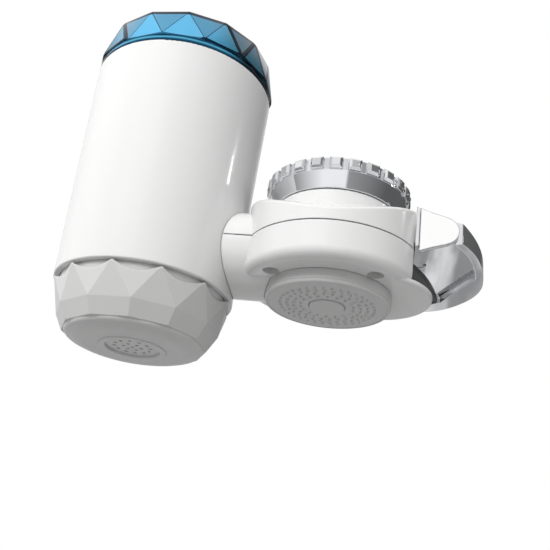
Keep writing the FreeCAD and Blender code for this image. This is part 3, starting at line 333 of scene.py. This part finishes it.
def porous_ceramic():
    """Unglazed ceramic: chalky, with fine pores and faint stains from use."""
    finish = Finish("porous ceramic", IOR=1.5)
    pores = finish.cells(1400.0)
    stain = finish.noise(28.0, 6.0)
    clean = finish.mix(finish.step(stain, 0.45, 0.75), (0.90, 0.87, 0.79), (0.80, 0.73, 0.60))
    finish.feed("Base Color", finish.mix(finish.step(pores, 0.30, 0.05), clean, (0.62, 0.56, 0.46)))
    finish.feed("Roughness", 0.85 + (stain - 0.5) * 0.1)
    finish.relief(pores * 0.7 + finish.noise(600.0, 3.0) * 0.3, 0.35, 0.0002)
    return finish.material


def pressed_carbon():
    """Pressed carbon grains."""
    finish = Finish("pressed carbon", IOR=1.6)
    grains = finish.cells(1100.0)
    finish.feed("Base Color", finish.mix(finish.step(grains, 0.1, 0.6), (0.010, 0.010, 0.011),
                                         (0.06, 0.06, 0.065)))
    finish.feed("Roughness", 0.5 + grains * 0.4)
    finish.relief(grains, 0.6, 0.0003)
    return finish.material


FINISHES = {"white_gloss": white_gloss, "white_satin": white_satin, "crystal_blue": tinted_crystal,
            "chrome": bright_chrome, "black_plastic": black_plastic, "black_rubber": soft_rubber,
            "steel": bright_steel, "ceramic": porous_ceramic, "carbon": pressed_carbon}
NODE_FINISHES = {"lever_cover": leaf_white, "lever": cast_chrome, "badge": white_satin}
made = {}


def finish_for(slot, node=None):
    """The material of a slot, or of one node with a finish of its own, made once."""
    make = NODE_FINISHES.get(node, FINISHES[slot])
    if make not in made:
        made[make] = make()
    return made[make]


# --------------------------------------------------------------- modelling helpers

def settings():
    return bpy.context.scene.water_filter


def fresh():
    """Object mode with nothing selected."""
    if bpy.context.mode != "OBJECT":
        bpy.ops.object.mode_set(mode="OBJECT")
    bpy.ops.object.select_all(action="DESELECT")


def pick(kind, test):
    """Select the faces, edges or vertices of the edited mesh that pass a test."""
    piece = bpy.context.edit_object
    mesh = bmesh.from_edit_mesh(piece.data)
    bpy.ops.mesh.select_all(action="DESELECT")
    mesh = bmesh.from_edit_mesh(piece.data)
    order = {"verts": "VERT", "edges": "EDGE", "faces": "FACE"}
    bpy.context.tool_settings.mesh_select_mode = [kind == k for k in order]
    for element in getattr(mesh, kind):
        element.select_set(bool(test(element)))
    mesh.select_flush_mode()
    bmesh.update_edit_mesh(piece.data)


def middle(edge):
    return (edge.verts[0].co + edge.verts[1].co) / 2


def from_axis(place, x):
    """Distance of a place from the vertical line at x."""
    return math.hypot(place.x - x, place.y)


def settle(piece, name, body, slot, smooth=30.0):
    """Name a finished piece, put its place into its mesh and let it ride on its body."""
    fresh()
    bpy.context.view_layer.objects.active = piece
    piece.select_set(True)
    for modifier in list(piece.modifiers):
        bpy.ops.object.modifier_apply(modifier=modifier.name)
    bpy.ops.object.transform_apply(location=True, rotation=True, scale=True)
    bpy.ops.object.shade_smooth_by_angle(angle=math.radians(smooth))
    piece.name = name
    piece.data.name = name
    if not piece.data.materials:
        piece.data.materials.append(finish_for(slot))
    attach(piece, body)
    return piece


def lathe(profile, x, segments=96, closed=True):
    """Round piece about the vertical line at x, extruded ring by ring along a profile of (radius, height)."""
    fresh()
    radius, height = profile[0]
    bpy.ops.mesh.primitive_circle_add(vertices=segments, radius=radius, location=(x, 0, height))
    piece = bpy.context.object
    bpy.ops.object.mode_set(mode="EDIT")
    bpy.ops.mesh.select_all(action="SELECT")
    for r, z in profile[1:] + (profile[:1] if closed else []):
        bpy.ops.mesh.extrude_edges_move(TRANSFORM_OT_translate={"value": (0, 0, z - height)})
        ratio = r / radius
        bpy.ops.transform.resize(value=(ratio, ratio, 1), center_override=(x, 0, z))
        radius, height = r, z
    bpy.ops.mesh.select_all(action="SELECT")
    bpy.ops.mesh.remove_doubles(threshold=0.00001)
    bpy.ops.mesh.normals_make_consistent(inside=False)
    bpy.ops.object.mode_set(mode="OBJECT")
    return piece


def join(first, others):
    """One object out of several."""
    fresh()
    for piece in others:
        piece.select_set(True)
    first.select_set(True)
    bpy.context.view_layer.objects.active = first
    bpy.ops.object.join()
    return first


def helix_ridge(crest, depth, pitch, low, turns, x):
    """Screw thread: a diamond section wound up about the vertical line at x."""
    fresh()
    bpy.ops.mesh.primitive_circle_add(vertices=4, radius=1.0, location=(x, 0, 0))
    piece = bpy.context.object
    bpy.ops.object.mode_set(mode="EDIT")
    bpy.ops.mesh.select_all(action="SELECT")
    bpy.ops.transform.rotate(value=math.radians(90), orient_axis="X", center_override=(x, 0, 0))
    bpy.ops.transform.resize(value=(depth, 1, pitch * 0.42), center_override=(x, 0, 0))
    bpy.ops.transform.translate(value=(crest - depth, 0, low))
    bpy.ops.object.mode_set(mode="OBJECT")
    wind = piece.modifiers.new("wind", "SCREW")
    wind.axis, wind.angle, wind.screw_offset = "Z", math.radians(360), pitch
    wind.iterations, wind.steps, wind.render_steps = turns, 64, 64
    wind.use_merge_vertices, wind.merge_threshold = True, 0.000001
    bpy.ops.object.modifier_apply(modifier="wind")
    bpy.ops.object.mode_set(mode="EDIT")
    pick("edges", lambda e: e.is_boundary)
    bpy.ops.mesh.edge_face_add()
    bpy.ops.mesh.select_all(action="SELECT")
    bpy.ops.mesh.normals_make_consistent(inside=False)
    bpy.ops.object.mode_set(mode="OBJECT")
    return piece


def crystal_band(x, low_r, low_z, high_r, high_z, count, phase):
    """Band of triangular facets between two polygons, the upper one turned by half a step."""
    fresh()
    step = 2 * math.pi / count
    bpy.ops.mesh.primitive_circle_add(vertices=count, radius=low_r, location=(x, 0, low_z),
                                      rotation=(0, 0, phase - math.pi / 2))
    piece = bpy.context.object
    bpy.ops.object.transform_apply(location=False, rotation=True, scale=True)
    bpy.ops.object.mode_set(mode="EDIT")
    bpy.ops.mesh.select_all(action="SELECT")
    bpy.ops.mesh.extrude_edges_move(TRANSFORM_OT_translate={"value": (0, 0, high_z - low_z)})
    ratio = high_r / low_r
    bpy.ops.transform.resize(value=(ratio, ratio, 1), center_override=(x, 0, high_z))
    mesh = bmesh.from_edit_mesh(piece.data)
    turn = Matrix.Rotation(step / 2, 4, "Z")
    for vertex in mesh.verts:
        if vertex.select:
            vertex.co = turn @ vertex.co
    bmesh.update_edit_mesh(piece.data)
    bpy.ops.mesh.select_all(action="SELECT")
    bpy.ops.mesh.quads_convert_to_tris(quad_method="SHORTEST_DIAGONAL", ngon_method="BEAUTY")
    bpy.ops.object.mode_set(mode="OBJECT")
    return piece


# ------------------------------------------------------------------- settings

class FilterSettings(bpy.types.PropertyGroup):
    """Sizes and colours of the water filter's looks."""
    white: bpy.props.FloatVectorProperty(
        name="Gloss white", description="Colour of the shells, the barrel and the lever's cover",
        subtype="COLOR", size=3, min=0, max=1, default=(0.80, 0.80, 0.795))
    satin: bpy.props.FloatVectorProperty(
        name="Satin white", description="Colour of the faceted base, the spray head and the inner parts",
        subtype="COLOR", size=3, min=0, max=1, default=(0.66, 0.66, 0.655))
    crystal: bpy.props.FloatVectorProperty(
        name="Crystal", description="Tint of the crystal cap", subtype="COLOR", size=3, min=0, max=1,
        default=(0.14, 0.60, 0.95))
    chrome: bpy.props.FloatVectorProperty(
        name="Chrome", description="Colour of the plating", subtype="COLOR", size=3, min=0, max=1,
        default=(0.82, 0.83, 0.85))
    cap_facets: bpy.props.IntProperty(
        name="Cap facets", description="Sides of the crystal cap's polygons", min=6, max=40, default=14)
    cap_phase: bpy.props.FloatProperty(
        name="Cap turn", description="Angle of the crystal cap's first corner", subtype="ANGLE",
        default=math.radians(-118))
    # the bevels of these two widths carry the painted dark edge
    edge_line: bpy.props.FloatProperty(
        name="Crystal edge", description="Width of the painted-dark bevel along the edges that face the user",
        subtype="DISTANCE", unit="LENGTH", min=0.0001, max=0.001, default=0.26 * MM)
    flank_line: bpy.props.FloatProperty(
        name="Flank edge", description="Width of the bevel along the crystal's top and its flanks' edges",
        subtype="DISTANCE", unit="LENGTH", min=0.0002, max=0.003, default=1.9 * MM)
    thread_pitch: bpy.props.FloatProperty(
        name="Tap thread pitch", description="Pitch of the adapter's thread", subtype="DISTANCE",
        unit="LENGTH", min=0.0005, max=0.003, default=1.0 * MM)
    cap_pitch: bpy.props.FloatProperty(
        name="Cap thread pitch", description="Pitch of the top cap's thread", subtype="DISTANCE",
        unit="LENGTH", min=0.001, max=0.005, default=3.0 * MM)
    light_level: bpy.props.FloatProperty(
        name="Light", description="Strength of the studio lamps against their plain level", min=0, max=4,
        default=1.0)


# --------------------------------------------------------------------- pieces

def crystal_with_painted_shade():
    """The crystal's tinted plastic darkened as painted shade, for the facets that lean back under the cap's
    top.
    """
    return tinted_crystal("shaded crystal plastic", 0.62)


def dark_edge_crystal():
    """Tinted plastic painted near black along the bevels and the rim's foot, as painted dark edges: dark
    lines at the top and bottom of the foot band with a paler tinted line between them, and painted black
    shade above the band and on the flanks.
    """
    finish = Finish("deep crystal edge", IOR=1.46, Specular_IOR_Level=0.15)
    haze = finish.noise(90.0, 3.0)
    tint = tuple(settings().crystal)
    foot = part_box("top_cap")[0].z
    # painted shade: dark lines at the top and bottom of the foot band, a paler tinted line between them
    line = finish.ramp((finish.axis("Z") - foot) / CAP_BAND_H,
                       [(0.0, 0.0), (0.30, 0.0), (0.42, 1.0), (0.60, 1.0), (0.72, 0.0), (1.0, 0.0)])
    band = finish.mix(line, dimmed(tint, 0.05, 0.12, 0.16), dimmed(tint, 0.5, 0.6, 0.55))
    # painted shade: black above the foot band and on the flanks
    above = finish.step(finish.axis("Z"), foot + CAP_BAND_H, foot + CAP_BAND_H + 0.6 * MM)
    dark = above.math("MAXIMUM", cap_side(finish, 0.55, 0.85))
    finish.feed("Base Color", finish.mix(dark, band, dimmed(tint, 0.01, 0.015, 0.02)))
    finish.feed("Roughness", 0.10 + haze * 0.08)
    return finish.material


class FILTER_OT_crystal_cap(bpy.types.Operator):
    """Tinted crystal cap with bevelled facets"""
    bl_idname = "water_filter.crystal_cap"
    bl_label = "Crystal cap"

    def execute(self, context):
        size = settings()
        low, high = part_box("top_cap")
        x = (low.x + high.x) / 2
        band_z, top_z = low.z + CAP_BAND_H, high.z
        half_z = band_z + 0.5 * (top_z - band_z)
        wall, chamfer, hair = 2 * MM, 0.3 * MM, 0.1 * MM
        inner = lathe([(CAP_HOLLOW_R, top_z - wall), (CAP_HOLLOW_R, low.z), (CAP_BAND_R - chamfer, low.z),
                       (CAP_BAND_R, low.z + chamfer), (CAP_BAND_R, band_z)], x, 112, closed=False)
        crystal = crystal_band(x, CAP_CORNER_R, band_z, CAP_CORNER_R - CAP_TAPER, top_z,
                               size.cap_facets, size.cap_phase)
        piece = join(inner, [crystal])
        for material in (finish_for("crystal_blue"), dark_edge_crystal(), crystal_with_painted_shade()):
            piece.data.materials.append(material)
        bpy.ops.object.mode_set(mode="EDIT")
        pick("edges", lambda e: e.is_boundary and abs(middle(e).z - band_z) < 0.02 * MM)
        bpy.ops.mesh.bridge_edge_loops()
        pick("edges", lambda e: e.is_boundary)
        bpy.ops.mesh.edge_face_add()
        bpy.ops.object.mode_set(mode="OBJECT")
        bpy.ops.object.transform_apply(location=True)
        bpy.ops.object.mode_set(mode="EDIT")
        pick("faces", lambda f: f.normal.z > 0.9 and f.calc_center_median().z > top_z - hair)
        bpy.ops.mesh.inset(thickness=4.6 * MM, depth=0)
        bpy.ops.mesh.inset(thickness=0.6 * MM, depth=-0.8 * MM)
        bpy.ops.mesh.select_all(action="SELECT")
        bpy.ops.mesh.normals_make_consistent(inside=False)
        # painted shade: the facets that lean back under the top get the darker copy of the crystal
        pick("faces", lambda f: abs(f.normal.z) < 0.9 and half_z < f.calc_center_median().z < top_z - hair
             and from_axis(f.calc_center_median(), x) > CAP_HOLLOW_R)
        piece.active_material_index = SHADED
        bpy.ops.object.material_slot_assign()
        # the bevels get the painted dark edge material
        for flank, width in ((True, size.flank_line), (False, size.edge_line)):
            pick("edges", lambda e: len(e.link_faces) == 2 and e.calc_face_angle() > math.radians(4)
                 and middle(e).z > band_z - 0.01 * MM and from_axis(middle(e), x) > CAP_HOLLOW_R
                 and min(f.calc_area() for f in e.link_faces) > 2e-6
                 and all(f.material_index != DARK_EDGE for f in e.link_faces)
                 and (abs(middle(e).x - x) > 0.5 * CAP_CORNER_R or middle(e).z > top_z - 1 * MM) == flank)
            bpy.ops.mesh.bevel(offset=width / 2, segments=2, affect="EDGES", material=DARK_EDGE)
        # the rim's foot band gets the painted dark edge material too
        pick("faces", lambda f: f.calc_center_median().z < band_z + 0.05 * MM
             and from_axis(f.calc_center_median(), x) > CAP_HOLLOW_R + 0.5 * MM)
        piece.active_material_index = DARK_EDGE
        bpy.ops.object.material_slot_assign()
        bpy.ops.object.mode_set(mode="OBJECT")
        settle(piece, "crystal_cap", "top_cap", "crystal_blue", 18.0)
        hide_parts("top_cap")
        return {"FINISHED"}


class FILTER_OT_cap_plug(bpy.types.Operator):
    """Threaded plug with a raised cup that shows through the crystal cap"""
    bl_idname = "water_filter.cap_plug"
    bl_label = "Cap plug"

    def execute(self, context):
        low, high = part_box("cap_liner")
        x, crest = (low.x + high.x) / 2, (high.x - low.x) / 2
        seal_low, seal_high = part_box("top_cap_seal")
        seal_z = (seal_low.z + seal_high.z) / 2
        rim = high.z - 10.5 * MM
        root, groove_r = crest - 0.7 * MM, crest - 1.5 * MM
        groove, land, slope = 0.95 * MM, 1.2 * MM, 1.3 * MM
        bore, chamfer, roof = 24.0 * MM, 0.6 * MM, 2 * MM
        seat_r, cup_r, dish_r, tip = 30.64 * MM, 28.5 * MM, 20.0 * MM, 0.02 * MM
        profile = [(bore, low.z), (bore + chamfer, low.z), (root - chamfer, low.z), (root, low.z + chamfer),
                   (root, seal_z - slope), (crest, seal_z - land), (crest, seal_z - groove),
                   (groove_r, seal_z - groove), (groove_r, seal_z + groove),
                   (crest, seal_z + groove), (crest, seal_z + land), (root, seal_z + slope),
                   (root, rim - 1.2 * MM), (crest, rim - 1.0 * MM), (crest, rim), (seat_r, rim),
                   (seat_r, rim + 1.8 * MM), (seat_r - 0.24 * MM, rim + 2.0 * MM), (cup_r, rim + 2.0 * MM),
                   (cup_r - 1.8 * MM, high.z - chamfer), (cup_r - 2.4 * MM, high.z), (dish_r, high.z),
                   (dish_r - 0.4 * MM, high.z - 0.3 * MM), (tip, high.z - 0.3 * MM), (tip, high.z - roof),
                   (bore - chamfer, high.z - roof), (bore, high.z - roof - chamfer)]
        piece = lathe(profile, x, 128)
        pitch = settings().cap_pitch
        turns = max(1, round((seal_z - 1.6 * MM - low.z - 0.9 * MM) / pitch))
        ridge = helix_ridge(crest, 0.75 * MM, pitch * 0.5, low.z + 1.0 * MM, turns, x)
        settle(join(piece, [ridge]), "cap_plug", "top_cap", "white_satin", 35.0)
        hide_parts("cap_liner")
        return {"FINISHED"}


class FILTER_OT_tap_adapter(bpy.types.Operator):
    """Flanged ring with the tap's screw thread"""
    bl_idname = "water_filter.tap_adapter"
    bl_label = "Tap adapter"

    def execute(self, context):
        low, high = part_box("adapter")
        crest, flange, bore = 12.0 * MM, (high.x - low.x) / 2, 9.6 * MM
        pitch, depth = settings().thread_pitch, 0.6 * MM
        root, chamfer, fillet = crest - depth, 0.3 * MM, 0.25 * MM
        lead, mouth = 0.5 * MM, 0.4 * MM
        profile = [(bore, low.z + chamfer), (bore + chamfer, low.z), (flange - chamfer, low.z),
                   (flange, low.z + chamfer), (flange, -chamfer), (flange - chamfer, 0), (root + fillet, 0),
                   (root, fillet), (root, high.z - lead), (root - lead, high.z),
                   (bore + mouth, high.z), (bore, high.z - mouth)]
        piece = lathe(profile, 0.0, 96)
        turns = int((high.z - 1.3 * MM) / pitch)
        ridge = helix_ridge(crest, depth, pitch, lead, turns, 0.0)
        settle(join(piece, [ridge]), "tap_adapter", "valve_body", "chrome", 35.0)
        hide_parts("adapter")
        return {"FINISHED"}


class FILTER_OT_seam_shadow_strip(bpy.types.Operator):
    """Thin dark strip in the parting line of the drum and its neck: painted shade of the seam's gap, in the
    black rubber finish
    """
    bl_idname = "water_filter.seam_seal"
    bl_label = "Seam seal"

    def execute(self, context):
        low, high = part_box("lower_shell")
        drum_r = (high.y - low.y) / 2
        flat_x, neck_r = 29.0 * MM, 16.2 * MM
        outer, inner, half = drum_r - 0.35 * MM, drum_r - 1.15 * MM, 0.20 * MM
        ring = lathe([(inner, SEAM_Z - half), (outer, SEAM_Z - half), (outer, SEAM_Z + half),
                      (inner, SEAM_Z + half)], 0, 240)
        bpy.ops.object.mode_set(mode="EDIT")
        pick("faces", lambda f: f.calc_center_median().x > flat_x - 0.6 * MM
             or (f.calc_center_median().x < 0 and abs(f.calc_center_median().y) < neck_r - 0.4 * MM))
        bpy.ops.mesh.delete(type="FACE")
        bpy.ops.mesh.select_all(action="SELECT")
        bpy.ops.mesh.fill_holes(sides=4)
        bpy.ops.object.mode_set(mode="OBJECT")
        strips = []
        strip_x = -math.sqrt(drum_r ** 2 - neck_r ** 2) - 3.0 * MM
        for side in (-1, 1):
            place = (strip_x, side * (neck_r - 0.75 * MM), SEAM_Z)
            bpy.ops.mesh.primitive_cube_add(size=1, location=place)
            strip = bpy.context.object
            strip.scale = (6.4 * MM, outer - inner, 2 * half)
            bpy.ops.object.transform_apply(location=True, scale=True)
            strips.append(strip)
        # painted shade: the strip gives the seam gap its dark shadow line
        settle(join(ring, strips), "seam_seal", "valve_body", "black_rubber", 35.0)
        return {"FINISHED"}


class FILTER_OT_finishes(bpy.types.Operator):
    """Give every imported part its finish"""
    bl_idname = "water_filter.finishes"
    bl_label = "Finishes"

    def execute(self, context):
        for part in frame["record"]["subparts"]:
            slots = frame["nodes"][part["node"]].material_slots
            for slot in slots:
                slot.material = finish_for(part["material_slot"], part["node"])
        return {"FINISHED"}


# ---------------------------------------------------------------------- stage

def camera_matrix(place, azimuth, elevation, roll):
    """Camera at a place, looking along an azimuth and elevation, turned by roll."""
    a, e, r = (math.radians(v) for v in (azimuth, elevation, roll))
    back = Vector((math.sin(a) * math.cos(e), -math.cos(a) * math.cos(e), math.sin(e)))
    level = (-back).cross(Vector((0, 0, 1))).normalized()
    above = level.cross(-back)
    right = math.cos(r) * level + math.sin(r) * above
    up = math.cos(r) * above - math.sin(r) * level
    turned = Matrix((right, up, back)).transposed().to_4x4()
    return Matrix.Translation(place) @ turned


def soft_box(name, place, aim, width, height, strength, mirrored):
    """Soft lamp at a place, facing a point; mirrors show it only if it is mirrored."""
    fresh()
    bpy.ops.object.light_add(type="AREA", location=place)
    lamp = bpy.context.object
    lamp.name = name
    lamp.data.shape = "RECTANGLE"
    lamp.data.size, lamp.data.size_y = width, height
    lamp.data.energy = strength * settings().light_level
    lamp.visible_glossy = mirrored
    lamp.rotation_euler = (Vector(aim) - Vector(place)).to_track_quat("-Z", "Y").to_euler()


def studio_dome(radius):
    """Round studio wall that only mirrors see: bands of grey by compass direction, a streaky ground below
    them and a white ceiling above."""
    fresh()
    bpy.ops.mesh.primitive_uv_sphere_add(segments=64, ring_count=32, radius=radius)
    dome = bpy.context.object
    dome.name = "studio_dome"
    bpy.ops.object.shade_smooth()
    wall = Finish("studio wall", Roughness=1.0, Specular_IOR_Level=0.0, Emission_Strength=1.0)
    wall.shader.inputs["Base Color"].default_value = (0, 0, 0, 1)
    around = wall.axis("X").math("ARCTAN2", wall.axis("Y") * -1.0) / (2 * math.pi) + 0.5
    low = wall.ramp(around, compass(LOW_WALL))
    high = wall.ramp(around, compass(HIGH_WALL))
    walls = wall.mix(wall.step(wall.axis("Z"), 0.0, 0.15 * radius), low, high)
    streaks = wall.step(wall.noise(11.0, 3.0, (1, 0.15, 1)), 0.35, 0.65)
    ground = wall.mix(streaks, grey(0.30), grey(0.85))
    walls = wall.mix(wall.step(wall.axis("Z"), -0.22 * radius, -0.40 * radius), walls, ground)
    ceiling = wall.step(wall.axis("Z"), 0.6 * radius, 0.85 * radius)
    wall.feed("Emission Color", wall.mix(ceiling, walls, grey(1)))
    dome.data.materials.append(wall.material)
    dome.visible_camera = False
    dome.visible_diffuse = False
    dome.visible_transmission = False
    dome.visible_shadow = False


def compass(wall):
    """Colour stops of a wall given by degrees."""
    return [(degrees / 360.0 + 0.5, grey) for degrees, grey in wall]


def shown_white(tree, room_light):
    """World that is white to the eye and in reflections, and a plain level of light elsewhere."""
    nodes, links = tree.nodes, tree.links
    path = nodes.new("ShaderNodeLightPath")
    seen = nodes.new("ShaderNodeMath")
    seen.operation = "MAXIMUM"
    links.new(path.outputs["Is Camera Ray"], seen.inputs[0])
    links.new(path.outputs["Is Transmission Ray"], seen.inputs[1])
    mirrored = nodes.new("ShaderNodeMath")
    mirrored.operation = "MAXIMUM"
    links.new(seen.outputs[0], mirrored.inputs[0])
    links.new(path.outputs["Is Glossy Ray"], mirrored.inputs[1])
    room = nodes["Background"]
    room.inputs["Color"].default_value = (1, 1, 1, 1)
    room.inputs["Strength"].default_value = room_light
    white = nodes.new("ShaderNodeBackground")
    white.inputs["Strength"].default_value = 1.0
    white.inputs["Color"].default_value = (1, 1, 1, 1)
    mixed = nodes.new("ShaderNodeMixShader")
    links.new(mirrored.outputs[0], mixed.inputs[0])
    links.new(room.outputs[0], mixed.inputs[1])
    links.new(white.outputs[0], mixed.inputs[2])
    links.new(mixed.outputs[0], nodes["World Output"].inputs["Surface"])


class FILTER_OT_stage(bpy.types.Operator):
    """Pale floor, soft studio light and the camera"""
    bl_idname = "water_filter.stage"
    bl_label = "Stage"

    def execute(self, context):
        scene = bpy.context.scene
        scene.view_settings.view_transform = "Standard"
        fresh()
        bpy.ops.mesh.primitive_plane_add(size=6, location=(0, 0, FLOOR_Z))
        floor = bpy.context.object
        floor.name = "floor"
        paper = Finish("pale floor")
        paper.feed("Base Color", paper.mix(paper.noise(4.0), grey(0.43), grey(0.47)))
        paper.shader.inputs["Roughness"].default_value = 0.8
        floor.data.materials.append(paper.material)
        floor.visible_glossy = False
        world = scene.world or bpy.data.worlds.new("studio")
        scene.world = world
        world.use_nodes = True
        shown_white(world.node_tree, ROOM_LIGHT)
        for lamp in LAMPS:
            soft_box(*lamp)
        studio_dome(DOME_R)
        camera = bpy.data.cameras.new("camera")
        camera.sensor_width, camera.lens = SENSOR_WIDTH, FOCAL_SHARE * SENSOR_WIDTH
        camera.clip_start = 0.01
        seat = bpy.data.objects.new("camera", camera)
        scene.collection.objects.link(seat)
        seat.matrix_world = camera_matrix(CAMERA_PLACE, *CAMERA_TURN)
        scene.camera = seat
        return {"FINISHED"}


# ---------------------------------------------------------------------- panel

PIECES = (FILTER_OT_crystal_cap, FILTER_OT_cap_plug, FILTER_OT_tap_adapter, FILTER_OT_seam_shadow_strip,
          FILTER_OT_finishes, FILTER_OT_stage)


class FILTER_PT_panel(bpy.types.Panel):
    """Sizes, colours and pieces of the water filter"""
    bl_label = "Water filter"
    bl_idname = "FILTER_PT_panel"
    bl_space_type = "VIEW_3D"
    bl_region_type = "UI"
    bl_category = "Water filter"

    def draw(self, context):
        column = self.layout.column()
        for name in FilterSettings.__annotations__:
            column.prop(settings(), name)
        for piece in PIECES:
            column.operator(piece.bl_idname)


CLASSES = (FilterSettings,) + PIECES + (FILTER_PT_panel,)


def register():
    for cls in CLASSES:
        bpy.utils.register_class(cls)
    bpy.types.Scene.water_filter = bpy.props.PointerProperty(type=FilterSettings)


def unregister():
    del bpy.types.Scene.water_filter
    for cls in reversed(CLASSES):
        bpy.utils.unregister_class(cls)


def main():
    register()
    bpy.ops.water_filter.finishes()
    bpy.ops.water_filter.crystal_cap()
    bpy.ops.water_filter.cap_plug()
    bpy.ops.water_filter.tap_adapter()
    bpy.ops.water_filter.seam_seal()
    bpy.ops.water_filter.stage()


if __name__ == "__main__":
    main()
